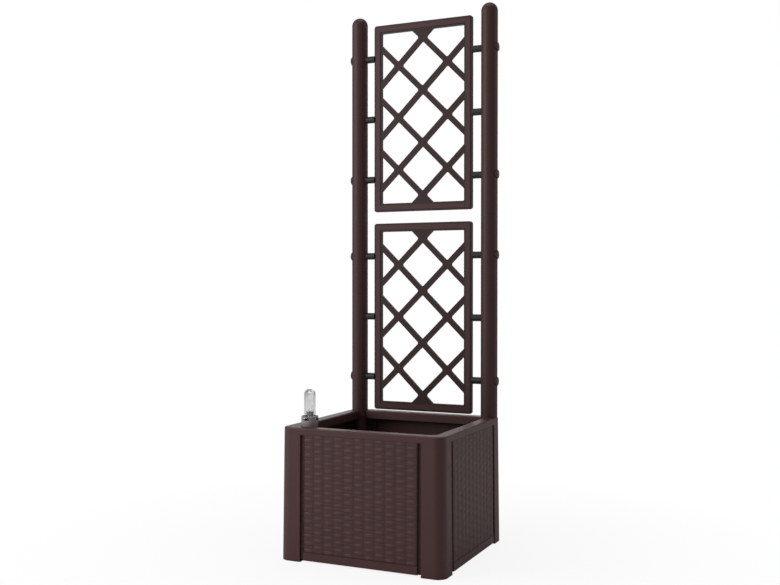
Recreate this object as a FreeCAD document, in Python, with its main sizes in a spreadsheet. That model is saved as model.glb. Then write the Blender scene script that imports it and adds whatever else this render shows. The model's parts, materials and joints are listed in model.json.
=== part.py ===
"""Square self-watering planter with a two-panel lattice trellis between two round posts.

Frame: X to the right, Y to the back, Z up; the origin is the centre of the pot on the floor.
The pot's faces lean out towards the floor. Four corner columns take the tongues of four wall plates,
a rim frame closes them from above, and a water tray stands on the columns' feet.
"""
import FreeCAD, Part
import math
import os
import Sketcher

os.makedirs("parts", exist_ok=True)

# Driving dimensions in millimetres.
DIMENSIONS = {
    # pot
    "pot_width": 426.0,  # across the faces at the rim
    "pot_height": 327.0,  # floor to the top of the rim
    "foot_flare": 3.0,  # how much further out each face stands at the floor than at the rim
    "corner_radius": 25.0,
    "skin": 3.0,  # wall thickness of the moulded pot pieces
    "fit_gap": 0.3,  # clearance between pieces that are plugged together
    "edge_radius": 1.5,  # rounding beside the grooves
    # walls and columns
    "column_width": 54.0,  # plain strip of a column, from the pot's face round the corner
    "groove_width": 9.0,  # dark groove between a wall's woven field and a column
    "groove_depth": 6.0,
    "field_recess": 1.5,  # the woven relief stands in a shallow recess of the field
    "field_border": 1.0,
    "plain_band": 20.0,  # below the woven relief
    "slot_depth": 8.0,  # how far a wall's tongue goes into its column
    "foot_height": 5.0,
    "wall_rib_depth": 5.0,
    "wall_rib_thickness": 2.5,
    "wall_rib_start": 100.0,  # first rib above the wall's lower edge
    "wall_rib_span": 140.0,  # first rib to last rib
    "wall_rib_count": 3,
    # rim
    "rim_band": 16.0,  # height of the plain outer band
    "rim_flange": 32.0,  # width of the top
    "rim_plate": 4.0,  # thickness of the top
    "rim_lip": 22.0,  # height of the inner lip
    "rim_corner": 15.0,  # corner radius of the opening
    "rim_locator": 24.0,  # depth of the rib that sits inside the columns
    "rim_edge": 3.5,  # rounding of the rim's top edges
    # water tray, soil platform and wick cups
    "tray_inset": 13.0,  # tray's outer wall inside the pot's faces at the rim
    "tray_height": 80.0,
    "tray_wall": 2.5,
    "tray_corner": 12.0,
    "platform_margin": 1.0,  # the platform's edge stays this far inside the tray's outer wall
    "platform_rib": 12.0,
    "platform_rib_clear": 9.0,  # a rib stands this far from the wick cups, towards the middle
    "drain_width": 4.0,  # slots in the platform
    "drain_length": 60.0,
    "drain_margin": 48.0,  # first row of slots from the tray's outer wall
    "drain_rows": 9,
    "cup_inset": 105.0,  # middle of a wick cup from the tray's outer wall, along X and along Y
    "cup_half": 28.0,
    "cup_corner": 4.0,
    "cup_wall": 2.0,
    "cup_flange": 4.0,
    "cup_slot_width": 12.0,
    "cup_slot_height": 40.0,
    # overflow at the back
    "overflow_height": 58.0,  # axis above the floor
    "overflow_bore": 8.0,
    "overflow_collar": 11.0,
    "overflow_reach": 11.5,  # collar beyond the tray's wall
    "plug_head": 12.5,
    "plug_head_height": 3.0,
    "plug_length": 14.0,
    # water gauge in the front left corner
    "gauge_inset": 52.5,  # axis from the pot's faces
    "shaft_radius": 18.0,
    "shaft_wall": 1.5,
    "shaft_rise": 7.0,  # shaft above the rim
    "shaft_arch_width": 10.0,
    "shaft_arch_height": 14.0,
    "head_radius": 21.3,
    "head_wall": 1.6,
    "head_height": 17.0,
    "head_skirt": 30.0,  # how far the filler head reaches down over the shaft
    "window_width": 14.5,
    "window_height": 6.5,
    "window_count": 4,
    "hub_radius": 12.2,
    "hub_wall": 1.4,
    "hub_height": 12.0,
    "spoke_width": 2.5,
    "spoke_height": 4.0,
    "spoke_count": 3,
    "dome_radius": 14.0,
    "dome_wall": 1.4,
    "dome_height": 83.0,
    "scale_width": 14.0,
    "scale_thickness": 1.2,
    "scale_offset": 5.5,  # scale behind the gauge's axis
    "scale_height": 76.0,
    "rod_radius": 2.0,
    "rod_guide": 0.6,  # clearance round the rod
    "marker_radius": 9.0,
    "marker_rise": 14.0,  # marker above the foot of the clear tube when the tray is empty
    "marker_height": 10.0,
    "float_radius": 14.0,
    "float_height": 16.0,
    "float_lift": 1.0,  # float above the tray's floor when the tray is empty
    # posts
    "total_height": 1420.0,
    "post_inset": 24.0,  # post axis from the faces of the rim
    "post_radius": 22.0,
    "post_wall": 2.5,
    "spigot_radius": 18.0,
    "spigot_length": 160.0,
    "socket_depth": 150.0,
    "socket_floor": 3.0,
    "boss_margin": 1.5,  # rim boss beyond the post
    "coupler_length": 100.0,
    "coupler_collar": 3.0,
    "cap_stem": 18.0,
    # lattice panels
    "panel_side_gap": 24.5,  # post to panel, bridged by the spacers
    "panel_foot_gap": 5.0,  # rim to lower panel
    "panel_top_gap": 6.0,  # upper panel to the start of the post caps' domes
    "panel_gap": 32.0,  # between the two panels
    "panel_depth": 12.0,
    "panel_edge": 9.0,  # thickness of the frame beside its raised bead
    "panel_corner": 7.0,
    "stile_width": 22.5,
    "rail_width": 23.0,
    "bead_inset": 5.0,
    "bar_width": 15.0,
    "bar_depth": 8.0,
    "bar_pitch": 142.4,  # crossing to crossing, along Z and along X
    "bar_corner": 5.0,
    # spacers and pins between posts and panels
    "spacer_radius": 9.3,
    "spacer_spread": 167.0,  # outer spacers from the middle one
    "pin_radius": 4.0,
    "pin_reach": 16.0,  # into the stile
    "pin_hole_depth": 18.5,
    "pin_head_radius": 12.0,
    "pin_head_height": 1.7,
    "pin_head_edge": 1.0,
    "stub_reach": 12.0,
}

doc = FreeCAD.newDocument("planter")
sheet = doc.addObject("Spreadsheet::Sheet", "Sizes")


class Size:
    """A dimension of the sheet, or a sum, difference or share of such dimensions.

    value is its number and text the expression that binds a property to the sheet.
    """

    def __init__(self, value, text):
        self.value = value
        self.text = text

    def __add__(self, other):
        other = size(other)
        return Size(self.value + other.value, f"({self.text} + {other.text})")

    def __sub__(self, other):
        other = size(other)
        return Size(self.value - other.value, f"({self.text} - {other.text})")

    def __mul__(self, factor):
        factor = size(factor)
        return Size(self.value * factor.value, f"({self.text} * {factor.text})")

    def __truediv__(self, divisor):
        divisor = size(divisor)
        return Size(self.value / divisor.value, f"({self.text} / {divisor.text})")

    def __neg__(self):
        return Size(-self.value, f"(0 - {self.text})")

    def __radd__(self, other):
        return size(other) + self

    def __rsub__(self, other):
        return size(other) - self

    def __rmul__(self, other):
        return self * other


def size(item):
    """A Size from a Size or a plain number."""
    if isinstance(item, Size):
        return item
    return Size(float(item), f"({float(item):.9f})")


class Sheet:
    """The named dimensions, each one a cell of the sheet."""

    def __init__(self, table):
        for row, (name, number) in enumerate(table.items(), start=1):
            sheet.set(f"A{row}", name)
            sheet.set(f"B{row}", str(number))
            sheet.setAlias(f"B{row}", name)
            setattr(self, name, Size(float(number), f"Sizes.{name}"))


D = Sheet(DIMENSIONS)
doc.recompute()

# Places that several pieces share.
ZERO = size(0)
HALF = D.pot_width / 2
COLUMN_EDGE = HALF - D.column_width  # where a column's strip starts, from the middle
FIELD_HALF = COLUMN_EDGE - D.groove_width
TONGUE_BACK = D.groove_depth + D.skin
SLOT_FRONT = D.groove_depth - D.fit_gap
SLOT_BACK = TONGUE_BACK + D.fit_gap
COLUMN_BACK = SLOT_BACK + D.skin
BAND_BOTTOM = D.pot_height - D.rim_band
OPENING_HALF = HALF - D.rim_flange
PLATE_BOTTOM = D.pot_height - D.rim_plate
TRAY_HALF = HALF - D.tray_inset
TRAY_FLOOR = D.foot_height + D.tray_wall
TRAY_TOP = D.foot_height + D.tray_height
PLATFORM_TOP = TRAY_TOP + D.skin
CUP_PLACE = TRAY_HALF - D.cup_inset
GAUGE = D.gauge_inset - HALF  # the gauge's axis, X and Y alike
SHAFT_TOP = D.pot_height + D.shaft_rise
HEAD_TOP = SHAFT_TOP + D.head_height
DOME_FOOT = SHAFT_TOP + D.spoke_height
MARKER_BOTTOM = DOME_FOOT + D.marker_rise
POST_X = HALF - D.post_inset
POST_Y = HALF - D.post_inset
SOCKET_RADIUS = D.spigot_radius + D.fit_gap
TUBE_INNER = D.post_radius - D.post_wall
PLUG_FIT = TUBE_INNER - D.fit_gap  # radius of what goes inside a post
PIN_HOLE = D.pin_radius + D.fit_gap
DOME_BASE = D.total_height - D.post_radius
PANEL_HALF = POST_X - D.post_radius - D.panel_side_gap
PANELS_LOW = D.pot_height + D.panel_foot_gap
PANELS_HIGH = DOME_BASE - D.panel_top_gap
PANEL_HEIGHT = (PANELS_HIGH - PANELS_LOW - D.panel_gap) / 2
JOINT_HEIGHT = (PANELS_HIGH + PANELS_LOW) / 2  # where the two sections of a post meet
PANEL_CENTRES = {
    "lower": PANELS_LOW + PANEL_HEIGHT / 2,
    "upper": PANELS_HIGH - PANEL_HEIGHT / 2,
}
SPACER_LENGTH = POST_X - PANEL_HALF  # post axis to the panel's edge
LEAN = math.degrees(math.atan2(D.foot_flare.value, D.pot_height.value))
CORNERS = {"back_right": 0, "back_left": 90, "front_left": 180, "front_right": 270}

NODES = []


def half_at(height):
    """Half the pot's width at a height above the floor."""
    return HALF + D.foot_flare * (D.pot_height - height) / D.pot_height


def bind(item, name, amount):
    """Bind a property of an object to the sheet."""
    item.setExpression(name, size(amount).text)


def new_body(name, node=True):
    """A PartDesign body; a node is written to its own file."""
    body = doc.addObject("PartDesign::Body", name)
    body.Label = name
    if node:
        NODES.append(body)
    return body


def corner_cut(vertex, before, after):
    """The two tangent points of a rounded vertex, as sums of sizes."""
    x, y, radius = vertex
    to_before = FreeCAD.Vector(before[0].value - x.value, before[1].value - y.value, 0).normalize()
    to_after = FreeCAD.Vector(after[0].value - x.value, after[1].value - y.value, 0).normalize()
    reach = 1 / math.tan(to_before.getAngle(to_after) / 2)
    ends = []
    for way in (to_before, to_after):
        ends.append((x + radius * (reach * way.x), y + radius * (reach * way.y)))
    centre_way = (to_before + to_after).normalize()
    centre_reach = radius.value * math.sqrt(1 + reach * reach)
    centre = FreeCAD.Vector(x.value, y.value, 0) + centre_way * centre_reach
    return ends, centre


class Drawing:
    """Lines, arcs and circles of a sketch, each held by constraints that follow the sheet."""

    def __init__(self):
        self.shapes = []
        self.rules = []
        self.bound = []

    def add(self, shape):
        """Add a line, arc or circle and return its number."""
        self.shapes.append(shape)
        return len(self.shapes) - 1

    def rule(self, *terms, amount=None):
        """Add a constraint, bound to an amount where it has one."""
        if amount is None:
            self.rules.append(Sketcher.Constraint(*terms))
        else:
            self.bound.append((len(self.rules), amount.text))
            self.rules.append(Sketcher.Constraint(*terms, amount.value))

    def hold(self, shape, end, point):
        """Hold an end of a shape at a point."""
        for kind, amount in zip(("DistanceX", "DistanceY"), point):
            self.rule(kind, -1, 1, shape, end, amount=amount)

    def loop(self, vertices):
        """A closed outline; a vertex is (x, y), or (x, y, radius) where it is rounded."""
        points = [tuple(size(number) for number in vertex) for vertex in vertices]
        corners = []
        for index, vertex in enumerate(points):
            if len(vertex) == 3:
                following = points[(index + 1) % len(points)]
                corners.append(corner_cut(vertex, points[index - 1], following))
            else:
                corners.append(([vertex, vertex], None))
        lines = []
        for index, (ends, _) in enumerate(corners):
            start = ends[1]
            (stop, _), centre = corners[(index + 1) % len(corners)]
            line = self.add(Part.LineSegment(vector(start), vector(stop)))
            self.hold(line, 1, start)
            if centre is not None:
                self.hold(line, 2, stop)
            lines.append(line)
        for index, (ends, centre) in enumerate(corners):
            if centre is None:
                self.rule("Coincident", lines[index - 1], 2, lines[index], 1)
            else:
                self.arc(lines[index - 1], lines[index], centre, ends, points[index][2])

    def arc(self, before, after, centre, ends, radius):
        """Round the corner between two lines that end at its tangent points."""
        start, stop = vector(ends[0]), vector(ends[1])
        turn = (start - centre).cross(stop - centre).z
        first, last = (start, stop) if turn > 0 else (stop, start)
        angles = [math.atan2(point.y - centre.y, point.x - centre.x) for point in (first, last)]
        circle = Part.Circle(centre, FreeCAD.Vector(0, 0, 1), radius.value)
        arc = self.add(Part.ArcOfCircle(circle, *angles))
        near, far = (1, 2) if turn > 0 else (2, 1)
        self.rule("Coincident", before, 2, arc, near)
        self.rule("Coincident", after, 1, arc, far)
        self.rule("Radius", arc, amount=radius)

    def circle(self, x, y, radius):
        """A circle."""
        x, y, radius = size(x), size(y), size(radius)
        circle = self.add(Part.Circle(vector((x, y)), FreeCAD.Vector(0, 0, 1), radius.value))
        self.hold(circle, 3, (x, y))
        self.rule("Radius", circle, amount=radius)

    def write(self, sketch):
        """Put the drawing into a sketch."""
        sketch.addGeometry(self.shapes)
        sketch.addConstraint(self.rules)
        for number, text in self.bound:
            sketch.setExpression(f"Constraints[{number}]", text)


def vector(point):
    """The present place of a point made of sizes."""
    return FreeCAD.Vector(point[0].value, point[1].value, 0)


def new_sketch(body, plane, level=ZERO, loops=(), circles=()):
    """A sketch on one of the body's origin planes, moved along the plane's normal by level."""
    sketch = body.newObject("Sketcher::SketchObject", body.Name + "_sketch")
    planes = {feature.Role: feature for feature in body.Origin.OriginFeatures}
    sketch.AttachmentSupport = [(planes[plane + "_Plane"], "")]
    sketch.MapMode = "FlatFace"
    bind(sketch, "AttachmentOffset.Base.z", level)
    drawing = Drawing()
    for vertices in loops:
        drawing.loop(vertices)
    for x, y, radius in circles:
        drawing.circle(x, y, radius)
    drawing.write(sketch)
    return sketch


def pad(body, sketch, length, backwards=False, both_ways=False):
    """Add the sketch's outline over a length."""
    feature = body.newObject("PartDesign::Pad", body.Name + "_pad")
    feature.Profile = sketch
    bind(feature, "Length", length)
    feature.Reversed = backwards
    feature.Midplane = both_ways
    return feature


def cut(body, sketch, length, along_normal=False, both_ways=False):
    """Cut the sketch's outline over a length."""
    feature = body.newObject("PartDesign::Pocket", body.Name + "_pocket")
    feature.Profile = sketch
    bind(feature, "Length", length)
    feature.Reversed = along_normal
    feature.Midplane = both_ways
    return feature


def pocket(body, sketch, length, along_normal=False, both_ways=False):
    """Cut the sketch's outline over a length; a cut that removes nothing is an error."""
    doc.recompute()
    before = body.Shape.Volume
    feature = cut(body, sketch, length, along_normal, both_ways)
    doc.recompute()
    if body.Shape.Volume > before - 1:
        raise RuntimeError(f"{feature.Name} cuts nothing")
    return feature


def revolve(body, sketch):
    """Turn the sketch's outline about its vertical axis."""
    feature = body.newObject("PartDesign::Revolution", body.Name + "_turn")
    feature.Profile = sketch
    feature.ReferenceAxis = (sketch, ["V_Axis"])
    feature.Angle = 360
    return feature


def pattern_round(body, feature, count):
    """Repeat a feature about the body's Z axis."""
    axes = {item.Role: item for item in body.Origin.OriginFeatures}
    pattern = body.newObject("PartDesign::PolarPattern", body.Name + "_ring")
    pattern.Originals = [feature]
    pattern.Axis = (axes["Z_Axis"], [""])
    pattern.Angle = 360
    bind(pattern, "Occurrences", count)
    body.Tip = pattern
    return pattern


def pattern_up(body, feature, span, count):
    """Repeat a feature along the body's Z axis."""
    axes = {item.Role: item for item in body.Origin.OriginFeatures}
    pattern = body.newObject("PartDesign::LinearPattern", body.Name + "_row")
    pattern.Originals = [feature]
    pattern.Direction = (axes["Z_Axis"], [""])
    bind(pattern, "Length", span)
    bind(pattern, "Occurrences", count)
    body.Tip = pattern
    return pattern


def place(item, x=ZERO, y=ZERO, z=ZERO, turn=0.0, lean=0.0):
    """Place an object: lean it about X, turn it about Z, then move it."""
    upright = FreeCAD.Rotation(FreeCAD.Vector(0, 0, 1), turn)
    leaning = FreeCAD.Rotation(FreeCAD.Vector(1, 0, 0), lean)
    item.Placement = FreeCAD.Placement(FreeCAD.Vector(), upright.multiply(leaning))
    for axis, amount in zip("xyz", (x, y, z)):
        bind(item, f"Placement.Base.{axis}", amount)


def square(half, radius):
    """A square about the middle with rounded corners."""
    half = size(half)
    return [(-half, -half, radius), (half, -half, radius), (half, half, radius), (-half, half, radius)]


def square_at(x, y, half, radius):
    """A square about a place with rounded corners."""
    return [(x + corner_x, y + corner_y, radius) for corner_x, corner_y, _ in square(half, radius)]


def rectangle(left, right, low, high):
    """A rectangle from its sides."""
    return [(left, low), (right, low), (right, high), (left, high)]


def dress_edges(body, kind, amount, chosen):
    """Round or bevel the edges for which chosen(edge) is true; kind is Fillet or Chamfer."""
    doc.recompute()
    base = body.Tip
    names = []
    for number, edge in enumerate(base.Shape.Edges, start=1):
        if chosen(edge):
            names.append(f"Edge{number}")
    if not names:
        raise RuntimeError(f"{body.Name} has no such edge")
    feature = body.newObject(f"PartDesign::{kind}", f"{body.Name}_{kind}")
    feature.Base = (base, names)
    bind(feature, "Radius" if kind == "Fillet" else "Size", amount)
    return feature


def dome_bands(radius, base, count):
    """Profile points of a round top, built from straight-sided bands that touch the round."""
    points = []
    for step in range(count + 1):
        angle = math.radians(90 * step / count)
        points.append((radius * math.cos(angle), base + radius * math.sin(angle)))
    return points


def at_height(edge, height):
    """Whether an edge lies level at a height."""
    box = edge.BoundBox
    return abs(box.ZMin - height) < 0.01 and abs(box.ZMax - height) < 0.01


# ---------------------------------------------------------------- pot: walls, columns, rim


def make_wall(name, turn, drain_opening=False):
    """A wall plate with a tongue on each side, ribbed behind, leaning with the pot's face.

    It is drawn flat: outer face in the XZ plane, Y into the pot.
    """
    body = new_body(name)
    field = FIELD_HALF
    tip = COLUMN_EDGE + D.slot_depth - D.fit_gap
    outline = [
        (-field, 0, D.edge_radius), (field, 0, D.edge_radius), (field, D.groove_depth),
        (tip, D.groove_depth), (tip, TONGUE_BACK), (field - D.skin, TONGUE_BACK),
        (field - D.skin, D.skin), (D.skin - field, D.skin), (D.skin - field, TONGUE_BACK),
        (-tip, TONGUE_BACK), (-tip, D.groove_depth), (-field, D.groove_depth),
    ]
    height = BAND_BOTTOM - D.foot_height - D.fit_gap
    pad(body, new_sketch(body, "XY", loops=[outline]), height)
    rib = rectangle(D.skin - field, field - D.skin, D.skin, D.skin + D.wall_rib_depth)
    first = pad(body, new_sketch(body, "XY", D.wall_rib_start, loops=[rib]), D.wall_rib_thickness)
    pattern_up(body, first, D.wall_rib_span, D.wall_rib_count)
    border = field - D.field_border
    recess = rectangle(-border, border, D.plain_band, height)
    pocket(body, new_sketch(body, "XZ", loops=[recess]), D.field_recess)
    if drain_opening:
        height = D.overflow_height - D.foot_height
        radius = D.plug_head + D.edge_radius
        opening = new_sketch(body, "XZ", circles=[(0, height, radius)])
        pocket(body, opening, D.skin * 2, both_ways=True)
    outward = half_at(D.foot_height)
    side = math.radians(turn)
    lift = D.foot_height + TONGUE_BACK * math.sin(math.radians(LEAN))
    place(body, outward * math.sin(side), outward * -math.cos(side), lift, turn, -LEAN)
    return body


def column_outline(half):
    """Plan of a column at the level where the pot's half width is half, corner towards +X +Y."""
    edge = COLUMN_EDGE
    slot = COLUMN_EDGE + D.slot_depth
    front, back, inner = half - SLOT_FRONT, half - SLOT_BACK, half - COLUMN_BACK
    return [
        (edge, half, D.edge_radius), (half, half, D.corner_radius), (half, edge, D.edge_radius),
        (front, edge), (front, slot), (back, slot), (back, edge), (inner, edge),
        (inner, inner, D.corner_radius - COLUMN_BACK), (edge, inner), (edge, back), (slot, back),
        (slot, front), (edge, front),
    ]


def column_hollow(half):
    """Plan of the hollow inside a column's corner."""
    end = COLUMN_EDGE + D.slot_depth + D.skin
    outer, inner = half - D.skin, half - SLOT_BACK
    return [
        (end, outer), (outer, outer, D.corner_radius - D.skin), (outer, end), (inner, end),
        (inner, inner, D.corner_radius - SLOT_BACK), (end, inner),
    ]


def make_column(name, turn, socket):
    """A hollow corner column on a foot plate; the back ones have a socket for a post."""
    body = new_body(name)
    foot = HALF + D.foot_flare
    plate = [(COLUMN_EDGE, COLUMN_EDGE), (foot, COLUMN_EDGE), (foot, foot, D.corner_radius),
             (COLUMN_EDGE, foot)]
    pad(body, new_sketch(body, "XY", loops=[plate]), D.foot_height)
    for kind, plan in (("Additive", column_outline), ("Subtractive", column_hollow)):
        low = new_sketch(body, "XY", D.foot_height, [plan(half_at(D.foot_height))])
        high = new_sketch(body, "XY", BAND_BOTTOM, [plan(half_at(BAND_BOTTOM))])
        doc.recompute()
        loft = body.newObject(f"PartDesign::{kind}Loft", f"{name}_{kind}")
        loft.Profile = low
        loft.Sections = [high]
        loft.Ruled = True
    if socket:
        outer = SOCKET_RADIUS + D.skin
        base = BAND_BOTTOM - D.socket_depth
        tube = new_sketch(body, "XY", base, circles=[(POST_X, POST_Y, outer)])
        pad(body, tube, D.socket_depth)
        bore = new_sketch(body, "XY", BAND_BOTTOM, circles=[(POST_X, POST_Y, SOCKET_RADIUS)])
        pocket(body, bore, D.socket_depth - D.socket_floor)
    place(body, turn=turn)
    return body


def make_rim():
    """The rim: a channel with an outer band, a top, an inner lip and a rib inside the columns."""
    body = new_body("rim_frame")
    corner = D.corner_radius
    locator = HALF - COLUMN_BACK - D.fit_gap
    locator_corner = corner - COLUMN_BACK - D.fit_gap
    top = new_sketch(body, "XY", PLATE_BOTTOM,
                     [square(HALF, corner), square(OPENING_HALF, D.rim_corner)])
    pad(body, top, D.rim_plate)
    rings = (
        (D.rim_band, HALF, corner),
        (D.rim_lip, OPENING_HALF + D.skin, D.rim_corner + D.skin),
        (D.rim_locator, locator, locator_corner),
    )
    for depth, half, radius in rings:
        ring = new_sketch(body, "XY", PLATE_BOTTOM,
                          [square(half, radius), square(half - D.skin, radius - D.skin)])
        pad(body, ring, depth - D.rim_plate, backwards=True)
    def top_edge(edge):
        box = edge.BoundBox
        return at_height(edge, D.pot_height.value) and max(box.XLength, box.YLength) > OPENING_HALF.value

    dress_edges(body, "Fillet", D.rim_edge, top_edge)
    posts = [(POST_X, POST_Y), (-POST_X, POST_Y)]
    relief = SOCKET_RADIUS + D.skin + D.fit_gap
    bottom = D.pot_height - D.rim_locator
    clearing = new_sketch(body, "XY", bottom, circles=[(x, y, relief) for x, y in posts])
    pocket(body, clearing, D.rim_locator - D.rim_plate, along_normal=True)
    boss = D.post_radius + D.boss_margin
    circles = [(x, y, boss) for x, y in posts]
    depth = D.rim_band - D.rim_plate
    pad(body, new_sketch(body, "XY", BAND_BOTTOM, circles=circles), depth + D.rim_plate / 4)
    seats = []
    for side in (-1, 1):
        middle, edge = POST_X * side, (POST_X - boss) * side
        seats.append([(middle, POST_Y - boss), (middle, POST_Y), (edge, POST_Y),
                      (edge, POST_Y - boss, boss * 0.98)])
    pad(body, new_sketch(body, "XY", BAND_BOTTOM, seats), D.rim_band)
    bore = new_sketch(body, "XY", BAND_BOTTOM, circles=[(x, y, SOCKET_RADIUS) for x, y in posts])
    pocket(body, bore, D.rim_band, along_normal=True)
    return body


# ---------------------------------------------------------------- tray, platform, cups, overflow


def make_tray():
    """The water tray with an overflow collar that reaches into the back wall."""
    body = new_body("base_tray")
    outer = new_sketch(body, "XY", D.foot_height, [square(TRAY_HALF, D.tray_corner)])
    pad(body, outer, D.tray_height)
    inner_half = TRAY_HALF - D.tray_wall
    inner = new_sketch(body, "XY", TRAY_TOP, [square(inner_half, D.tray_corner - D.tray_wall)])
    pocket(body, inner, D.tray_height - D.tray_wall)
    end = TRAY_HALF + D.overflow_reach
    collar = new_sketch(body, "XZ", -end, circles=[(0, D.overflow_height, D.overflow_collar)])
    pad(body, collar, D.overflow_reach + D.tray_wall / 2)
    bore_radius = D.overflow_bore + D.fit_gap
    bore = new_sketch(body, "XZ", -end, circles=[(0, D.overflow_height, bore_radius)])
    pocket(body, bore, D.overflow_reach + D.tray_wall * 2, along_normal=True)
    return body


def drain_slots():
    """The platform's drain slots, row by row, clear of the wick cups."""
    count = int(D.drain_rows.value)
    pitch = (TRAY_HALF - D.drain_margin) / ((count - 1) / 2)
    half = D.drain_width / 2
    clear = D.cup_half + D.cup_flange + D.drain_width
    rows = []
    for row in range(count):
        y = pitch * (row - (count - 1) / 2)
        near_cup = abs(abs(y.value) - CUP_PLACE.value) < clear.value
        middles = [ZERO] if near_cup else [-CUP_PLACE, ZERO, CUP_PLACE]
        rows.append([rectangle(x - D.drain_length / 2, x + D.drain_length / 2, y - half, y + half)
                     for x in middles])
    return rows


def make_platform():
    """The perforated soil platform that closes the tray, with ribs and a locating edge below."""
    body = new_body("soil_platform")
    half = TRAY_HALF - D.platform_margin
    plate = new_sketch(body, "XY", TRAY_TOP, [square(half, D.tray_corner)])
    pad(body, plate, D.skin)
    inner = TRAY_HALF - D.tray_wall - D.fit_gap
    radius = D.tray_corner - D.tray_wall - D.fit_gap
    edge = new_sketch(body, "XY", TRAY_TOP,
                      [square(inner, radius), square(inner - D.skin, radius - D.skin)])
    pad(body, edge, D.platform_rib, backwards=True)
    for side in (-1, 1):
        place_x = (CUP_PLACE - D.cup_half - D.platform_rib_clear) * side
        across = rectangle(place_x - D.skin / 2, place_x + D.skin / 2, D.skin - inner, inner - D.skin)
        along = [(y, x) for x, y in across]
        for bar in (across, along):
            pad(body, new_sketch(body, "XY", TRAY_TOP, [bar]), D.platform_rib, backwards=True)
    openings = [square_at(x * CUP_PLACE, y * CUP_PLACE, D.cup_half + D.fit_gap, D.cup_corner)
                for x in (-1, 1) for y in (-1, 1)]
    shaft = [(GAUGE, GAUGE, D.shaft_radius + D.fit_gap)]
    pocket(body, new_sketch(body, "XY", PLATFORM_TOP, openings, shaft), D.skin)
    for slots in drain_slots():
        pocket(body, new_sketch(body, "XY", PLATFORM_TOP, slots), D.skin)
    return body


def make_cup(name, x, y):
    """One wick cup: a slotted square cup that hangs in the platform and reaches the tray's floor."""
    body = new_body(name, node=False)
    low = TRAY_FLOOR + D.fit_gap
    top = PLATFORM_TOP + D.cup_wall
    pad(body, new_sketch(body, "XY", low, [square(D.cup_half, D.cup_corner)]), PLATFORM_TOP - low)
    flange = square(D.cup_half + D.cup_flange, D.cup_corner)
    pad(body, new_sketch(body, "XY", PLATFORM_TOP, [flange]), D.cup_wall)
    hollow = square(D.cup_half - D.cup_wall, D.cup_corner - D.cup_wall)
    pocket(body, new_sketch(body, "XY", top, [hollow]), top - low - D.cup_wall)
    half = D.cup_slot_width / 2
    low_slot = low + D.cup_wall * 3
    slot = rectangle(-half, half, low_slot, low_slot + D.cup_slot_height)
    for plane in ("XZ", "YZ"):
        pocket(body, new_sketch(body, plane, loops=[slot]), D.cup_half * 3, both_ways=True)
    place(body, x, y)
    return body


def make_cups():
    """The four wick cups as one group."""
    group = doc.addObject("Part::Compound", "wick_cups")
    cups = []
    for number, (x, y) in enumerate(((-1, -1), (1, -1), (1, 1), (-1, 1)), start=1):
        cups.append(make_cup(f"wick_cup_{number}", CUP_PLACE * x, CUP_PLACE * y))
    group.Links = cups
    group.Label = "wick_cups"
    NODES.append(group)
    return group


def make_plug():
    """The overflow plug: a stem in the collar's bore and a round head in the wall's opening."""
    body = new_body("overflow_plug")
    head, bevel = D.plug_head_height, D.edge_radius
    outline = [
        (0, -D.plug_length), (D.overflow_bore - bevel, -D.plug_length),
        (D.overflow_bore, bevel - D.plug_length), (D.overflow_bore, 0), (D.plug_head, 0),
        (D.plug_head, head - bevel), (D.plug_head - bevel, head), (0, head),
    ]
    revolve(body, new_sketch(body, "XY", loops=[outline]))
    place(body, y=TRAY_HALF + D.overflow_reach, z=D.overflow_height)
    return body


# ---------------------------------------------------------------- water gauge


def make_shaft():
    """The fill shaft: a tube on the tray's floor with arches for the water at its foot."""
    body = new_body("fill_shaft")
    inner = D.shaft_radius - D.shaft_wall
    tube = rectangle(inner, D.shaft_radius, TRAY_FLOOR, SHAFT_TOP)
    revolve(body, new_sketch(body, "XZ", loops=[tube]))
    half = D.shaft_arch_width / 2
    arch = [(-half, TRAY_FLOOR - 1), (half, TRAY_FLOOR - 1),
            (half, TRAY_FLOOR + D.shaft_arch_height, half * 0.98),
            (-half, TRAY_FLOOR + D.shaft_arch_height, half * 0.98)]
    for plane in ("XZ", "YZ"):
        pocket(body, new_sketch(body, plane, loops=[arch]), D.shaft_radius * 3, both_ways=True)
    place(body, GAUGE, GAUGE)
    return body


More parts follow.
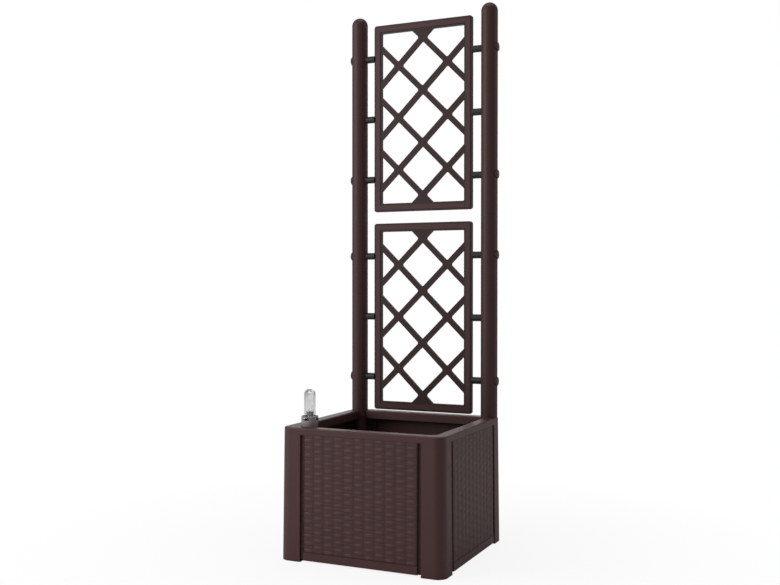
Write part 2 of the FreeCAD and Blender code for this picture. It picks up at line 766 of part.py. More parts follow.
def make_head():
    """The filler head: a ring with side windows over the shaft; spokes hold hub and rod guide."""
    body = new_body("filler_cup")
    skirt_inner = D.shaft_radius + D.fit_gap
    skirt_outer = skirt_inner + D.head_wall * 0.75
    bottom = SHAFT_TOP - D.head_skirt
    inner = D.head_radius - D.head_wall
    outline = [
        (skirt_inner, bottom), (skirt_outer, bottom), (skirt_outer, D.pot_height - D.rim_plate),
        (D.head_radius, SHAFT_TOP), (D.head_radius, HEAD_TOP - D.head_wall / 2),
        (D.head_radius - D.head_wall / 2, HEAD_TOP), (inner, HEAD_TOP),
        (inner, SHAFT_TOP + D.head_wall), (inner - D.shaft_wall * 2, SHAFT_TOP),
        (skirt_inner, SHAFT_TOP),
    ]
    revolve(body, new_sketch(body, "XZ", loops=[outline]))
    guide = D.rod_radius + D.rod_guide
    half = D.spoke_width / 2
    spoke = rectangle(guide + D.skin / 2, inner, -half, half)
    first = pad(body, new_sketch(body, "XY", SHAFT_TOP, loops=[spoke]), D.spoke_height)
    pattern_round(body, first, D.spoke_count)
    rings = (
        (guide, guide + D.skin, D.spoke_height),
        (D.hub_radius - D.hub_wall, D.hub_radius, D.hub_height),
    )
    for small, large, height in rings:
        ring = new_sketch(body, "XY", SHAFT_TOP, circles=[(0, 0, small), (0, 0, large)])
        pad(body, ring, height)
    half = D.window_width / 2
    top = HEAD_TOP - D.head_wall * 2
    window = rectangle(-half, half, top - D.window_height, top)
    reach = D.head_radius - D.dome_radius
    sketch = new_sketch(body, "XZ", D.dome_radius, loops=[window])
    opening = pocket(body, sketch, reach * 2, along_normal=True)
    pattern_round(body, opening, D.window_count)
    place(body, GAUGE, GAUGE)
    return body


def make_dome():
    """The clear gauge tube with a domed top; it stands on the spokes round the hub."""
    body = new_body("gauge_tube")
    inner = D.dome_radius - D.dome_wall
    round_base = DOME_FOOT + D.dome_height - D.dome_radius
    outline = [(inner, DOME_FOOT), (D.dome_radius, DOME_FOOT)]
    outline += dome_bands(D.dome_radius, round_base, 5)[:-1] + [(0, round_base + D.dome_radius)]
    outline += [(0, round_base + inner)] + dome_bands(inner, round_base, 4)[-2::-1]
    revolve(body, new_sketch(body, "XZ", loops=[outline]))
    place(body, GAUGE, GAUGE)
    return body


def make_scale():
    """The scale strip behind the level marker."""
    body = new_body("gauge_scale")
    half = D.scale_width / 2
    strip = rectangle(-half, half, D.scale_offset, D.scale_offset + D.scale_thickness)
    pad(body, new_sketch(body, "XY", DOME_FOOT, loops=[strip]), D.scale_height)
    place(body, GAUGE, GAUGE)
    return body


def make_float():
    """Float, rod and level marker, which rise together."""
    low = TRAY_FLOOR + D.float_lift
    top = low + D.float_height
    pieces = (
        ("float", [rectangle(0, D.float_radius, low, top)]),
        ("float_rod", [rectangle(0, D.rod_radius, top, MARKER_BOTTOM)]),
    )
    for name, loops in pieces:
        body = new_body(name)
        revolve(body, new_sketch(body, "XZ", loops=loops))
        place(body, GAUGE, GAUGE)
    body = new_body("level_marker")
    disc = new_sketch(body, "XY", MARKER_BOTTOM, circles=[(0, 0, D.marker_radius)])
    pad(body, disc, D.marker_height)
    flat = D.scale_offset - D.rod_guide
    side = D.marker_radius + 1
    back = rectangle(-side, side, flat, side)
    sketch = new_sketch(body, "XY", MARKER_BOTTOM, loops=[back])
    pocket(body, sketch, D.marker_height, along_normal=True)
    place(body, GAUGE, GAUGE)


# ---------------------------------------------------------------- trellis


def spacer_heights(section):
    """Heights of the low, middle and high spacer of a section's panel."""
    centre = PANEL_CENTRES[section]
    return centre - D.spacer_spread, centre, centre + D.spacer_spread


def place_at_post(body, side):
    """Place what is drawn about a post's axis with the panel towards +X."""
    if side == "left":
        place(body, -POST_X, POST_Y)
    else:
        place(body, POST_X, POST_Y, turn=180)


def drill_post(body, section):
    """Holes in a post: right through for the outer pins, one wall for the middle stub."""
    low, middle, high = spacer_heights(section)
    length = D.post_radius * 2 + D.skin
    through = new_sketch(body, "YZ", circles=[(0, low, PIN_HOLE), (0, high, PIN_HOLE)])
    pocket(body, through, length, both_ways=True)
    pocket(body, new_sketch(body, "YZ", circles=[(0, middle, PIN_HOLE)]), length, along_normal=True)


def make_post(side):
    """A post: lower section with its spigot, coupler, upper section and domed cap."""
    seam = D.coupler_collar / 2
    lower_top = JOINT_HEIGHT - seam
    upper_low = JOINT_HEIGHT + seam
    shoulder = D.pot_height + D.post_wall
    foot = D.pot_height - D.spigot_length
    spigot_inner = D.spigot_radius - D.post_wall
    profiles = {
        "post_lower": [
            (spigot_inner, foot), (D.spigot_radius, foot, D.edge_radius / 2),
            (D.spigot_radius, D.pot_height), (D.post_radius, D.pot_height),
            (D.post_radius, lower_top), (TUBE_INNER, lower_top), (TUBE_INNER, shoulder),
            (spigot_inner, shoulder),
        ],
        "post_upper": rectangle(TUBE_INNER, D.post_radius, upper_low, DOME_BASE),
        "post_coupler": [
            (PLUG_FIT - D.post_wall, JOINT_HEIGHT - D.coupler_length / 2),
            (PLUG_FIT, JOINT_HEIGHT - D.coupler_length / 2), (PLUG_FIT, lower_top),
            (D.post_radius, lower_top), (D.post_radius, upper_low), (PLUG_FIT, upper_low),
            (PLUG_FIT, JOINT_HEIGHT + D.coupler_length / 2),
            (PLUG_FIT - D.post_wall, JOINT_HEIGHT + D.coupler_length / 2),
        ],
        "post_cap": [
            (0, DOME_BASE - D.cap_stem), (PLUG_FIT, DOME_BASE - D.cap_stem, D.edge_radius / 2),
            (PLUG_FIT, DOME_BASE), *dome_bands(D.post_radius, DOME_BASE, 5)[:-1],
            (0, D.total_height),
        ],
    }
    for kind, outline in profiles.items():
        body = new_body(f"{side}_{kind}")
        revolve(body, new_sketch(body, "XZ", loops=[outline]))
        if kind in ("post_lower", "post_upper"):
            drill_post(body, kind.split("_")[1])
        place_at_post(body, side)


def bar_openings():
    """Centres of the diamond openings: two interleaved grids, with those that the frame cuts.

    The ones centred beyond the rails are left out: there the crossing bars meet in a solid gusset.
    """
    half_width = PANEL_HALF.value
    half_height = PANEL_HEIGHT.value / 2
    reach = D.bar_pitch.value / 2
    columns = int(half_width // reach) + 1
    rows = int(half_height // reach)
    places = []
    for column in range(-columns, columns + 1):
        for row in range(-rows, rows + 1):
            if (column + row) % 2 == 0:
                places.append((D.bar_pitch * (column / 2), D.bar_pitch * (row / 2)))
    return places


def make_panel(section):
    """A lattice panel: a plate cut to crossed bars, then the frame with its raised bead."""
    body = new_body(f"{section}_lattice")
    centre = PANEL_CENTRES[section]
    high = PANEL_HEIGHT / 2

    def frame_loop(inset_x, inset_z, radius):
        return [(x * (PANEL_HALF - inset_x), centre + z * (high - inset_z), radius)
                for x, z in ((-1, -1), (1, -1), (1, 1), (-1, 1))]

    plate = rectangle(D.stile_width / 2 - PANEL_HALF, PANEL_HALF - D.stile_width / 2,
                      centre - high + D.rail_width / 2, centre + high - D.rail_width / 2)
    pad(body, new_sketch(body, "XZ", loops=[plate]), D.bar_depth, both_ways=True)
    tip = D.bar_pitch / 2 - D.bar_width / math.sqrt(2)
    limit_x = PANEL_HALF.value - D.stile_width.value / 2
    limit_z = high.value - D.rail_width.value / 2
    diamonds = []
    for x, z in bar_openings():
        inside = abs(x.value) - tip.value < limit_x and abs(z.value) - tip.value < limit_z
        if inside:
            diamonds.append([(x - tip, centre + z, D.bar_corner), (x, centre + z - tip, D.bar_corner),
                             (x + tip, centre + z, D.bar_corner), (x, centre + z + tip, D.bar_corner)])
    for diamond in diamonds:
        cut(body, new_sketch(body, "XZ", loops=[diamond]), D.panel_depth * 2, both_ways=True)
    near_x, near_z = PANEL_HALF - D.stile_width, high - D.rail_width
    for x, z in ((-1, -1), (1, -1), (1, 1), (-1, 1)):
        corner = rectangle((near_x - D.bar_width) * x, (near_x + D.bead_inset) * x,
                           centre + (near_z - D.bar_width) * z, centre + (near_z + D.bead_inset) * z)
        cut(body, new_sketch(body, "XZ", loops=[corner]), D.panel_depth * 2, both_ways=True)
    edges = [frame_loop(ZERO, ZERO, D.panel_corner), frame_loop(D.stile_width, D.rail_width, D.skin)]
    pad(body, new_sketch(body, "XZ", loops=edges), D.panel_edge, both_ways=True)
    inset = D.bead_inset
    bead = [frame_loop(inset, inset, D.skin),
            frame_loop(D.stile_width - inset, D.rail_width - inset, D.skin)]
    pad(body, new_sketch(body, "XZ", loops=bead), D.panel_depth, both_ways=True)
    holes = [(0, height, PIN_HOLE) for height in spacer_heights(section)]
    for side in (-1, 1):
        sketch = new_sketch(body, "YZ", PANEL_HALF * side, circles=holes)
        pocket(body, sketch, D.pin_hole_depth, along_normal=side < 0)
    place(body, y=POST_Y)
    return body


def outer_heights():
    """Heights of the spacers that have a pin: the outer two of each panel."""
    return [height for section in PANEL_CENTRES for height in spacer_heights(section)[::2]]


def cut_to_post(body):
    """Cut the post's round out of pieces that lie against it."""
    seat = D.post_radius + D.fit_gap
    sketch = new_sketch(body, "XY", circles=[(0, 0, seat)])
    pocket(body, sketch, D.total_height, along_normal=True)


def make_fasteners(side):
    """Spacer sleeves, pins with flat heads and plain middle stubs, drawn about the post's axis."""
    outer = outer_heights()
    start = D.post_radius - D.skin
    sleeves = new_body(f"{side}_spacer_sleeves")
    rings = [(0, height, radius) for height in outer for radius in (D.spacer_radius, PIN_HOLE)]
    pad(sleeves, new_sketch(sleeves, "YZ", start, circles=rings), SPACER_LENGTH - start)
    cut_to_post(sleeves)
    place_at_post(sleeves, side)

    pins = new_body(f"{side}_pins")
    face = D.post_radius + D.fit_gap + D.pin_head_height
    discs = [(0, height, D.pin_head_radius) for height in outer]
    pad(pins, new_sketch(pins, "YZ", -face, circles=discs), face - start + D.skin)
    dress_edges(pins, "Chamfer", D.pin_head_edge,
                lambda edge: abs(edge.BoundBox.XMax + face.value) < 0.01)
    cut_to_post(pins)
    shanks = [(0, height, D.pin_radius) for height in outer]
    length = face + SPACER_LENGTH + D.pin_reach - D.pin_head_height / 2
    level = D.pin_head_height / 2 - face
    pad(pins, new_sketch(pins, "YZ", level, circles=shanks), length)
    place_at_post(pins, side)

    stubs = new_body(f"{side}_middle_spacers")
    middle = [PANEL_CENTRES[section] for section in PANEL_CENTRES]
    discs = [(0, height, D.spacer_radius) for height in middle]
    pad(stubs, new_sketch(stubs, "YZ", start, circles=discs), SPACER_LENGTH - start)
    cut_to_post(stubs)
    pegs = [(0, height, D.pin_radius) for height in middle]
    level = TUBE_INNER
    pad(stubs, new_sketch(stubs, "YZ", level, circles=pegs), SPACER_LENGTH + D.stub_reach - level)
    place_at_post(stubs, side)


# ---------------------------------------------------------------- the whole planter


for wall, quarter in (("front_wall", 0), ("right_wall", 90), ("back_wall", 180), ("left_wall", 270)):
    make_wall(wall, quarter, drain_opening=wall == "back_wall")
for corner, quarter in CORNERS.items():
    make_column(f"{corner}_column", quarter, socket=corner.startswith("back"))
make_rim()
make_tray()
make_platform()
make_cups()
make_plug()
make_shaft()
make_head()
make_dome()
make_scale()
make_float()
for hand in ("left", "right"):
    make_post(hand)
    make_fasteners(hand)
for panel in PANEL_CENTRES:
    make_panel(panel)
doc.recompute()

failed = [item.Name for item in doc.Objects if "Invalid" in item.State or "Error" in item.State]
if failed:
    raise RuntimeError("failed objects: " + ", ".join(failed))
for node in NODES:
    if node.Shape.isNull() or not node.Shape.isValid():
        raise RuntimeError(f"{node.Label} has no valid shape")
for node in NODES:
    node.Shape.exportStep(f"parts/{node.Label}.step")
    print(node.Label, len(node.Shape.Solids), round(node.Shape.Volume / 1000, 1), "cm3")
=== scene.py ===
"""Planter with trellis: woven faces, moulded trellis, clear gauge, finishes, light and camera.

All lengths are metres in the frame of the construction: X right, Y back, Z up, pot on the floor.
"""
import json
import math

import bmesh
import bpy
import numpy as np
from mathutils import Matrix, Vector


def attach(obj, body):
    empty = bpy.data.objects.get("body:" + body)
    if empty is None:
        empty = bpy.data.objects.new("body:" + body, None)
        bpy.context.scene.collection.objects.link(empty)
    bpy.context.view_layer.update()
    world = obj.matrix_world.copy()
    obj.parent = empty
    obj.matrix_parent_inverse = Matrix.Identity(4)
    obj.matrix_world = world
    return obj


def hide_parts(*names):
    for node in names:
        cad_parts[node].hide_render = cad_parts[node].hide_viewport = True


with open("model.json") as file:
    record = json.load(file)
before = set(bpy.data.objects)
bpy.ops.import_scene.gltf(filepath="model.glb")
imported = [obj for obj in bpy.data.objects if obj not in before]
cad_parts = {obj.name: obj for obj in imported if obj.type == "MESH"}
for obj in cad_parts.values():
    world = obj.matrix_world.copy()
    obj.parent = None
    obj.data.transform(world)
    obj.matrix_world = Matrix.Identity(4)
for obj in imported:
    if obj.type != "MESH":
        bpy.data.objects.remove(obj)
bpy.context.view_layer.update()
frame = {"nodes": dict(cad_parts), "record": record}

MM = 0.001
BODY = "planter"

# The photograph's camera, found from the object's edges.
IMAGE_WIDTH, IMAGE_HEIGHT = 780, 585
CAMERA_PLACE = (1.0436, -2.3953, 0.6752)
CAMERA_YAW = 25.503
CAMERA_PITCH = 0.697
FOCAL_PIXELS = 1021.71
CENTRE_X, CENTRE_Y = 360.0, 297.78

# The pot's faces, and the recess in each that the woven relief fills.
HALF_TOP = 213 * MM
POT_HEIGHT = 327 * MM
FLARE = 3 * MM
FIELD_HALF = 148.7 * MM
FIELD_LOW = 25.4 * MM
FIELD_HIGH = 310.5 * MM
FIELD_RECESS = 1.55 * MM
WALL_TURNS = {"front": 0, "right": 90, "back": 180, "left": 270}
STAKE_COUNT = 11
STRAND_COUNT = 32
WEAVE_ROWS, WEAVE_COLUMNS = 262, 222
RELIEF = 1.9 * MM
RELIEF_ROOT = 0.2 * MM

# How high parts of the relief stay where they are lowest, and the stakes' height and half width.
STRAND_EDGE, STRAND_DIP, STRAND_VALLEY = 0.45, 0.5, 0.2
STAKE_HEIGHT, STAKE_HALF_WIDTH = 0.5, 0.22

# The overflow's opening in the back face, and how far the cut reaches to each side of that face.
OPENING_RADIUS = 14.4 * MM
OPENING_HEIGHT = 58 * MM
CUT_REACH = 20 * MM

# The posts' round tops and the gauge's clear tube.
POST_PLACE = 189 * MM
POST_RADIUS = 22 * MM
TOTAL_HEIGHT = 1420 * MM
STEM_RADIUS = 19.2 * MM
STEM_BOTTOM = 1380 * MM
GAUGE_PLACE = -160.5 * MM
TUBE_RADIUS = 14 * MM
TUBE_WALL = 1.4 * MM
TUBE_LOW, TUBE_HIGH = 338 * MM, 421 * MM

# The lattices: their edges' rounding, and where their bars end and the bead of the frame begins,
# measured from their middle plane. Painted shade darkens the recessed bars and fades out towards
# the bead.
LATTICE_ROUNDING = 1.2 * MM
BAR_FACE, BEAD_FACE = 4.2 * MM, 5.8 * MM

# The inside of the gauge's cup, darkened by painted shade, and the wall where that painted shade
# has faded out.
CUP_INSIDE, CUP_WALL = 19.4 * MM, 19.8 * MM

# Sizes of the marks in moulded plastic, in noise cells per metre.
GRAIN_SCALE, WEAR_SCALE, FLOW_SCALE = 1100, 120, 16

# The light bending of the clear tube, low enough for its thin walls to stay clear at their edges.
CLEAR_IOR = 1.12

# How much of its tone a part keeps under painted shade: the weave's valleys, the lattice's recessed
# bars and the inside of the gauge's cup.
PAINTED_SHADE_TONES = {"valleys": 0.35, "bars": 0.5, "cup": 0.06}

# The floor, and the distances between which its shadow fades out.
FLOOR_HALF = 12.0
SHADOW_NEAR, SHADOW_FAR, SHADOW_SHARE = 0.3, 1.1, 0.12

# The light all round, and the lamps: place, size and power in watts.
AMBIENT = 0.3
LAMP_TARGET = (0, 0, 0.6)
LAMPS = {
    "front_left": ((-2.6, -2.3, 1.9), 2.6, 92),
    "back_right": ((2.6, 1.9, 1.4), 2.4, 13),
    "overhead": ((0, 0, 3.6), 2.0, 24),
    "behind": ((-0.9, 3.2, 1.6), 2.4, 26),
}


# ---------------------------------------------------------------- meshes


def mesh_object(name, points, faces):
    """A smooth-shaded mesh piece from its points and faces."""
    mesh = bpy.data.meshes.new(name)
    mesh.from_pydata([tuple(point) for point in points], [], [tuple(face) for face in faces])
    mesh.polygons.foreach_set("use_smooth", np.ones(len(mesh.polygons), bool))
    piece = bpy.data.objects.new(name, mesh)
    bpy.context.scene.collection.objects.link(piece)
    return piece


def grid_faces(rows, columns, closed=False):
    """Quads of a grid of rows by columns points; closed joins the last column to the first."""
    row, column = np.meshgrid(np.arange(rows - 1), np.arange(columns if closed else columns - 1),
                              indexing="ij")
    following = (column + 1) % columns
    corners = (row * columns + column, row * columns + following,
               (row + 1) * columns + following, (row + 1) * columns + column)
    return np.stack([corner.ravel() for corner in corners], axis=1)


def tidy_mesh(piece, merge=1e-6, sharp=35, dissolve=0.0):
    """Merge doubled points, turn faces outwards and keep edges over an angle sharp."""
    work = bmesh.new()
    work.from_mesh(piece.data)
    bmesh.ops.remove_doubles(work, verts=work.verts, dist=merge)
    if dissolve:
        bmesh.ops.dissolve_limit(work, angle_limit=math.radians(dissolve), verts=work.verts,
                                 edges=work.edges)
    bmesh.ops.recalc_face_normals(work, faces=work.faces)
    for edge in work.edges:
        edge.smooth = len(edge.link_faces) == 2 and edge.calc_face_angle(0) < math.radians(sharp)
    work.to_mesh(piece.data)
    work.free()
    piece.data.polygons.foreach_set("use_smooth", np.ones(len(piece.data.polygons), bool))


def turned(name, profile, centre, segments=96):
    """A profile turned about an upright axis: (r, z) goes to (r cos a, r sin a, z) for angles a.

    The profile starts and ends on the axis, so that the surface closes itself.
    """
    profile = np.array(profile, float)
    angles = np.linspace(0, 2 * math.pi, segments, endpoint=False)
    radius, height = profile[:, :1], profile[:, 1:]
    layers = (radius * np.cos(angles), radius * np.sin(angles), height + 0 * angles)
    points = np.stack([layer.ravel() for layer in layers], axis=1) + np.array(centre)
    piece = mesh_object(name, points, grid_faces(len(profile), segments, closed=True))
    tidy_mesh(piece)
    return piece


def round_arc(radius, base, start, stop, steps=20):
    """Points (r, z) of a quarter round about (0, base), from one angle to another in degrees."""
    angles = np.radians(np.linspace(start, stop, steps))
    return [(radius * math.cos(angle), base + radius * math.sin(angle)) for angle in angles]


def softened(node, width, segments=3, angle=30):
    """A moulded copy of a node with its hard edges rounded; the copy stands for the node."""
    piece = bpy.data.objects.new(node + "_moulding", frame["nodes"][node].data.copy())
    bpy.context.scene.collection.objects.link(piece)
    tidy_mesh(piece, merge=2e-6, sharp=angle, dissolve=1.0)
    bevel = piece.modifiers.new("edge", "BEVEL")
    bevel.width = width
    bevel.segments = segments
    bevel.limit_method = "ANGLE"
    bevel.angle_limit = math.radians(angle)
    bevel.harden_normals = True
    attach(piece, BODY)
    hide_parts(node)
    return piece


# ---------------------------------------------------------------- materials


class Socket:
    """A value inside a node tree; arithmetic on it adds Math nodes."""

    def __init__(self, maker, output):
        self.maker = maker
        self.output = output

    def _math(self, operation, first, second):
        return self.maker.node("ShaderNodeMath", {"operation": operation}, {0: first, 1: second})

    def __add__(self, other):
        return self._math("ADD", self, other)

    def __radd__(self, other):
        return self._math("ADD", other, self)

    def __sub__(self, other):
        return self._math("SUBTRACT", self, other)

    def __rsub__(self, other):
        return self._math("SUBTRACT", other, self)

    def __mul__(self, other):
        return self._math("MULTIPLY", self, other)

    def __rmul__(self, other):
        return self._math("MULTIPLY", other, self)

    def power(self, exponent):
        """This value raised to a power."""
        return self._math("POWER", self, exponent)


class Maker:
    """Builds the nodes of one material or world."""

    def __init__(self, owner):
        owner.use_nodes = True
        self.owner = owner
        self.tree = owner.node_tree
        self.tree.nodes.clear()

    def node(self, kind, settings=None, inputs=None, output=0):
        """Add a node: its settings first, then its sockets; returns one output as a Socket."""
        node = self.tree.nodes.new(kind)
        for name, value in (settings or {}).items():
            setattr(node, name, value)
        for name, value in (inputs or {}).items():
            if isinstance(value, Socket):
                self.tree.links.new(value.output, node.inputs[name])
            else:
                node.inputs[name].default_value = value
        return Socket(self, node.outputs[output]) if len(node.outputs) else None

    def place(self):
        """Where the shaded point is on the object."""
        return self.node("ShaderNodeTexCoord", output="Object")

    def noise(self, scale, detail=3, roughness=0.5):
        """Irregular noise from 0 to 1 over the object."""
        inputs = {"Vector": self.place(), "Scale": scale, "Detail": detail, "Roughness": roughness}
        return self.node("ShaderNodeTexNoise", {}, inputs)

    def blend(self, factor, low, high):
        """A colour between two colours."""
        return self.node("ShaderNodeMix", {"data_type": "RGBA"}, {0: factor, 6: low, 7: high}, 2)

    def step(self, value, low, high):
        """0 below low, 1 above high and a slope between."""
        inputs = {"Value": value, "From Min": low, "From Max": high}
        return self.node("ShaderNodeMapRange", {}, inputs)

    def bump(self, height, distance):
        """A surface normal from a height from 0 to 1."""
        return self.node("ShaderNodeBump", {}, {"Height": height, "Distance": distance})

    def principled(self, **sockets):
        """Finish with a Principled surface; socket names are written with underscores."""
        inputs = {}
        for key, value in sockets.items():
            inputs[key.replace("_", " ").title().replace("Ior", "IOR")] = value
        return self.surface(self.node("ShaderNodeBsdfPrincipled", {}, inputs))

    def surface(self, shader, kind="ShaderNodeOutputMaterial"):
        """Finish with a shader as the surface."""
        self.node(kind, {}, {"Surface": shader})
        return self.owner


def colour(red, green, blue, factor=1.0):
    """A colour written as 0 to 255 display values, in linear light, times a factor."""
    levels = np.array([red, green, blue]) / 255
    linear = np.where(levels <= 0.04045, levels / 12.92, ((levels + 0.055) / 1.055) ** 2.4)
    return (*(linear * factor).tolist(), 1.0)


def painted_shade_mask(maker, part):
    """Painted shade: where a part keeps its full tone (1) and where painted shade darkens it (0).

    The parts are the weave, with painted shade in its valleys, a lattice, with painted shade on its
    bars recessed behind the bead of its frame, and the gauge's cup, with painted shade inside.
    """
    # painted shade in the weave's valleys, darker where the relief is low
    if part == "valleys":
        height = maker.node("ShaderNodeAttribute", {"attribute_name": "relief"}, output="Fac")
        return height.power(0.6)
    # painted shade on the lattice's recessed bars, fading out at the frame's bead
    if part == "bars":
        depth = maker.node("ShaderNodeSeparateXYZ", {}, {"Vector": maker.place()}, "Y")
        from_middle = depth - POST_PLACE
        distance = maker.node("ShaderNodeMath", {"operation": "ABSOLUTE"}, {0: from_middle})
        return maker.step(distance, BAR_FACE, BEAD_FACE)
    # painted shade inside the gauge's cup
    level = maker.node("ShaderNodeVectorMath", {"operation": "MULTIPLY"},
                       {0: maker.place(), 1: (1, 1, 0)})
    radius = maker.node("ShaderNodeVectorMath", {"operation": "DISTANCE"},
                        {0: level, 1: (GAUGE_PLACE, GAUGE_PLACE, 0)}, "Value")
    return maker.step(radius, CUP_INSIDE, CUP_WALL)


def moulded(name, tone, roughness=0.45, grain=GRAIN_SCALE, bump=0.06 * MM, contrast=0.15,
            shine=0.35, part=None):
    """Moulded plastic: fine grain, faint flow marks, a soft sheen and perhaps painted shade on one
    part.
    """
    maker = Maker(bpy.data.materials.new(name))
    fine = maker.noise(grain, 2)
    flow = maker.noise(FLOW_SCALE, 4, 0.6)
    worn = maker.noise(WEAR_SCALE, 3, 0.6)
    amount = flow * 0.6 + fine * 0.4
    shade = maker.blend(amount, colour(*tone, 1 - contrast), colour(*tone, 1 + contrast))
    # painted shade laid over the plastic's tone on one part
    if part:
        shade = maker.blend(painted_shade_mask(maker, part), colour(*tone, PAINTED_SHADE_TONES[part]), shade)
    rough = worn * 0.16 + fine * 0.08 + (roughness - 0.12)
    return maker.principled(base_color=shade, roughness=rough, normal=maker.bump(fine, bump),
                            specular_ior_level=shine)


def clear(name):
    """Clear moulded plastic with a faint haze."""
    maker = Maker(bpy.data.materials.new(name))
    haze = maker.noise(90, 2)
    return maker.principled(base_color=colour(250, 250, 250), roughness=haze * 0.05 + 0.02,
                            ior=CLEAR_IOR, transmission_weight=1.0)


POT_TONE = (70, 40, 40)
MATERIALS = {
    "pot_plastic": moulded("mocha_pot", POT_TONE, 0.5),
    # painted shade in the weave's valleys
    "woven": moulded("mocha_weave", (76, 45, 45), 0.55, part="valleys"),
    "trellis_plastic": moulded("mocha_trellis", (66, 42, 42), 0.5, shine=0.25),
    # painted shade on the lattice's recessed bars
    "lattice": moulded("mocha_lattice", (72, 47, 46), 0.5, shine=0.25, part="bars"),
    "spacer_plastic": moulded("spacer", (40, 37, 35), 0.45),
    "inner_plastic": moulded("black_inner", (26, 23, 22), 0.6),
    # painted shade inside the gauge's cup
    "gauge_plastic": moulded("grey_gauge", (146, 139, 136), 0.4, part="cup"),
    "clear_plastic": clear("clear_gauge"),
    "scale_plastic": moulded("grey_scale", (208, 207, 206), 0.5, contrast=0.05),
    "marker_plastic": moulded("marker", (110, 104, 106), 0.5),
    "float_foam": moulded("float_foam", (222, 220, 210), 0.8, 300, 0.3 * MM),
    "plug_rubber": moulded("plug_rubber", (22, 22, 22), 0.7),
}


def dress(piece, slot, look=None):
    """Give a piece its material: the one named by look, or else the one named by slot."""
    piece.data.materials.clear()
    piece.data.materials.append(MATERIALS[look or slot])


# ---------------------------------------------------------------- woven faces


def from_low(low, amount):
    """A value that goes from low to 1 as the amount goes from 0 to 1."""
    return low + (1 - low) * amount


def weave_height(stake, strand):
    """Height of the wicker relief from 0 to 1, at places counted in stakes and strands.

    A strand is a flat half round. It rises over every second stake and dips behind those between,
    while its neighbours do the opposite, and each rise ends in a valley beside its stake. Where the
    strand dips, the upright stake shows as a narrow half round.
    """
    row = np.floor(strand)
    across = (stake + 0.5) % 1 - 0.5
    along = (strand - row - 0.5) * 2
    over = 0.5 + 0.5 * np.cos(math.pi * (stake + row))
    crown = np.clip(1 - np.abs(along) ** 3, 0, 1)
    valley = np.abs(np.cos(math.pi * across)) ** 0.5
    strand_height = (from_low(STRAND_EDGE, crown) * from_low(STRAND_DIP, over)
                     * from_low(STRAND_VALLEY, valley))
    half_round = np.sqrt(np.clip(1 - (across / STAKE_HALF_WIDTH) ** 2, 0, 1))
    stake_height = STAKE_HEIGHT * half_round * (1 - over)
    return np.maximum(strand_height, stake_height)


def cut_opening(piece, count=64):
    """Cut the overflow's round opening: a prism along Y on the circle (r cos a, h + r sin a)."""
    angle = np.linspace(0, 2 * math.pi, count, endpoint=False)
    inner = np.stack([OPENING_RADIUS * np.cos(angle), np.full(count, HALF_TOP - CUT_REACH),
                      OPENING_HEIGHT + OPENING_RADIUS * np.sin(angle)], axis=1)
    number = np.arange(count)
    following = np.roll(number, -1)
    sides = np.stack([number, following, following + count, number + count], axis=1)
    cutter = mesh_object("opening", np.concatenate([inner, inner + (0, 2 * CUT_REACH, 0)]),
                         [*sides, number[::-1], number + count])
    tidy_mesh(cutter)
    opening = piece.modifiers.new("opening", "BOOLEAN")
    opening.object = cutter
    cut = piece.evaluated_get(bpy.context.evaluated_depsgraph_get())
    piece.data = bpy.data.meshes.new_from_object(cut)
    piece.modifiers.clear()
    bpy.data.objects.remove(cutter)
    tidy_mesh(piece, sharp=60)


def woven_face(wall):
    """The woven relief of one wall: a grid over the recess, closed behind, turned to its side."""
    rows, columns = WEAVE_ROWS, WEAVE_COLUMNS
    side, up = np.meshgrid(np.linspace(-1, 1, columns), np.linspace(0, 1, rows))
    height = weave_height((side + 1) / 2 * STAKE_COUNT - 0.5, up * STRAND_COUNT)
    z = FIELD_LOW + up * (FIELD_HIGH - FIELD_LOW)
    plane = HALF_TOP + FLARE * (POT_HEIGHT - z) / POT_HEIGHT - FIELD_RECESS
    front = np.stack([side * FIELD_HALF, -(plane + height * RELIEF), z], axis=-1).reshape(-1, 3)
    grid = np.arange(rows * columns).reshape(rows, columns)
    rim = np.concatenate([grid[0, :-1], grid[:-1, -1], grid[-1, :0:-1], grid[:0:-1, 0]])
    back = front[rim]
    back[:, 1] = -(plane.ravel()[rim] - RELIEF_ROOT)
    start = len(front)
    ring = start + np.arange(len(rim))
    sides = np.stack([rim, ring, np.roll(ring, -1), np.roll(rim, -1)], axis=1)
    faces = [*grid_faces(rows, columns), *sides, ring[::-1]]
    angle = math.radians(WALL_TURNS[wall])
    spin = np.array([[math.cos(angle), math.sin(angle), 0], [-math.sin(angle), math.cos(angle), 0],
                     [0, 0, 1]])
    piece = mesh_object(wall + "_weave", np.concatenate([front, back]) @ spin, faces)
    relief = piece.data.attributes.new("relief", "FLOAT", "POINT")
    relief.data.foreach_set("value", np.concatenate([height.ravel(), np.zeros(len(rim))]))
    if wall == "back":
        cut_opening(piece)
    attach(piece, BODY)
    dress(piece, "pot_plastic", "woven")


# ---------------------------------------------------------------- round pieces


def post_top(side):
    """The smooth round top of a post, on the stem that sits in the tube."""
    base = TOTAL_HEIGHT - POST_RADIUS
    stem = [(0, STEM_BOTTOM), (STEM_RADIUS, STEM_BOTTOM), (STEM_RADIUS, base)]
    profile = stem + [(POST_RADIUS, base)] + round_arc(POST_RADIUS, base, 0, 90)
    name = "left" if side < 0 else "right"
    piece = turned(name + "_post_top", profile, (side * POST_PLACE, POST_PLACE, 0))
    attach(piece, BODY)
    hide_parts(name + "_post_cap")
    dress(piece, "trellis_plastic")


def clear_tube():
    """The clear tube of the gauge with its round top, hollow inside."""
    inner = TUBE_RADIUS - TUBE_WALL
    base = TUBE_HIGH - TUBE_RADIUS
    profile = round_arc(inner, base, 90, 0) + [(inner, TUBE_LOW), (TUBE_RADIUS, TUBE_LOW)]
    profile += round_arc(TUBE_RADIUS, base, 0, 90)
    piece = turned("clear_gauge_tube", profile, (GAUGE_PLACE, GAUGE_PLACE, 0))
    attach(piece, BODY)
    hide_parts("gauge_tube")
    dress(piece, "clear_plastic")


# ---------------------------------------------------------------- floor, light and camera


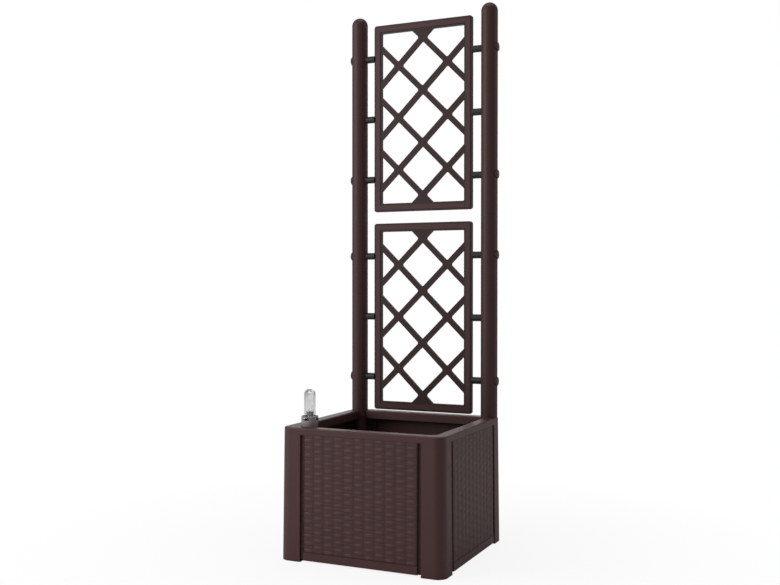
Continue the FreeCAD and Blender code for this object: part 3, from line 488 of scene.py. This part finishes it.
def make_floor():
    """A pale floor that looks white to the camera but for the object's soft shadow."""
    half = FLOOR_HALF
    corners = [(-half, -half, 0), (half, -half, 0), (half, half, 0), (-half, half, 0)]
    floor = mesh_object("floor", corners, [(0, 1, 2, 3)])
    maker = Maker(bpy.data.materials.new("pale_floor"))
    matte = maker.node("ShaderNodeBsdfDiffuse", {}, {"Color": (0.8, 0.8, 0.8, 1)})
    white = maker.node("ShaderNodeEmission", {}, {"Color": (1, 1, 1, 1)})
    seen = maker.node("ShaderNodeLightPath", output="Is Camera Ray")
    away = maker.node("ShaderNodeVectorMath", {"operation": "LENGTH"}, {0: maker.place()}, "Value")
    open_floor = maker.step(away, SHADOW_NEAR, SHADOW_FAR) * SHADOW_SHARE + (1 - SHADOW_SHARE)
    floor.data.materials.append(maker.surface(
        maker.node("ShaderNodeMixShader", {}, {0: seen * open_floor, 1: matte, 2: white})))


def make_world():
    """Plain surroundings: white to the camera and through clear plastic, weaker as light."""
    world = bpy.data.worlds.new("plain_white")
    maker = Maker(world)
    light = maker.node("ShaderNodeBackground", {}, {"Color": (1, 1, 1, 1), "Strength": AMBIENT})
    white = maker.node("ShaderNodeBackground", {}, {"Color": (1, 1, 1, 1), "Strength": 1.0})
    camera = maker.node("ShaderNodeLightPath", output="Is Camera Ray")
    through = maker.node("ShaderNodeLightPath", output="Is Transmission Ray")
    either = maker.node("ShaderNodeMath", {"operation": "MAXIMUM"}, {0: camera, 1: through})
    mixed = maker.node("ShaderNodeMixShader", {}, {0: either, 1: light, 2: white})
    bpy.context.scene.world = maker.surface(mixed, "ShaderNodeOutputWorld")


def make_lamp(name, place, size, power):
    """A soft square lamp turned towards the middle of the planter."""
    lamp = bpy.data.lights.new(name, "AREA")
    lamp.size = size
    lamp.energy = power
    item = bpy.data.objects.new(name, lamp)
    bpy.context.scene.collection.objects.link(item)
    item.location = place
    item.rotation_euler = (Vector(LAMP_TARGET) - Vector(place)).to_track_quat("-Z", "Y").to_euler()


def make_camera():
    """The camera: yaw to the left, a slight look down and a small shift."""
    data = bpy.data.cameras.new("camera")
    data.sensor_width = 36
    data.lens = FOCAL_PIXELS * data.sensor_width / IMAGE_WIDTH
    data.shift_x = (IMAGE_WIDTH / 2 - CENTRE_X) / IMAGE_WIDTH
    data.shift_y = (CENTRE_Y - IMAGE_HEIGHT / 2) / IMAGE_WIDTH
    item = bpy.data.objects.new("camera", data)
    bpy.context.scene.collection.objects.link(item)
    item.location = CAMERA_PLACE
    item.rotation_euler = (math.radians(90 - CAMERA_PITCH), 0, math.radians(CAMERA_YAW))
    bpy.context.scene.camera = item


# ---------------------------------------------------------------- the whole planter

for part in frame["record"]["subparts"]:
    dress(frame["nodes"][part["node"]], part["material_slot"])
for wall in WALL_TURNS:
    woven_face(wall)
for node in ("upper_lattice", "lower_lattice"):
    dress(softened(node, LATTICE_ROUNDING), "trellis_plastic", "lattice")
for side in (-1, 1):
    post_top(side)
clear_tube()

make_floor()
make_world()
for name, (place, size, power) in LAMPS.items():
    make_lamp(name, place, size, power)
make_camera()
bpy.context.scene.view_settings.view_transform = "Standard"
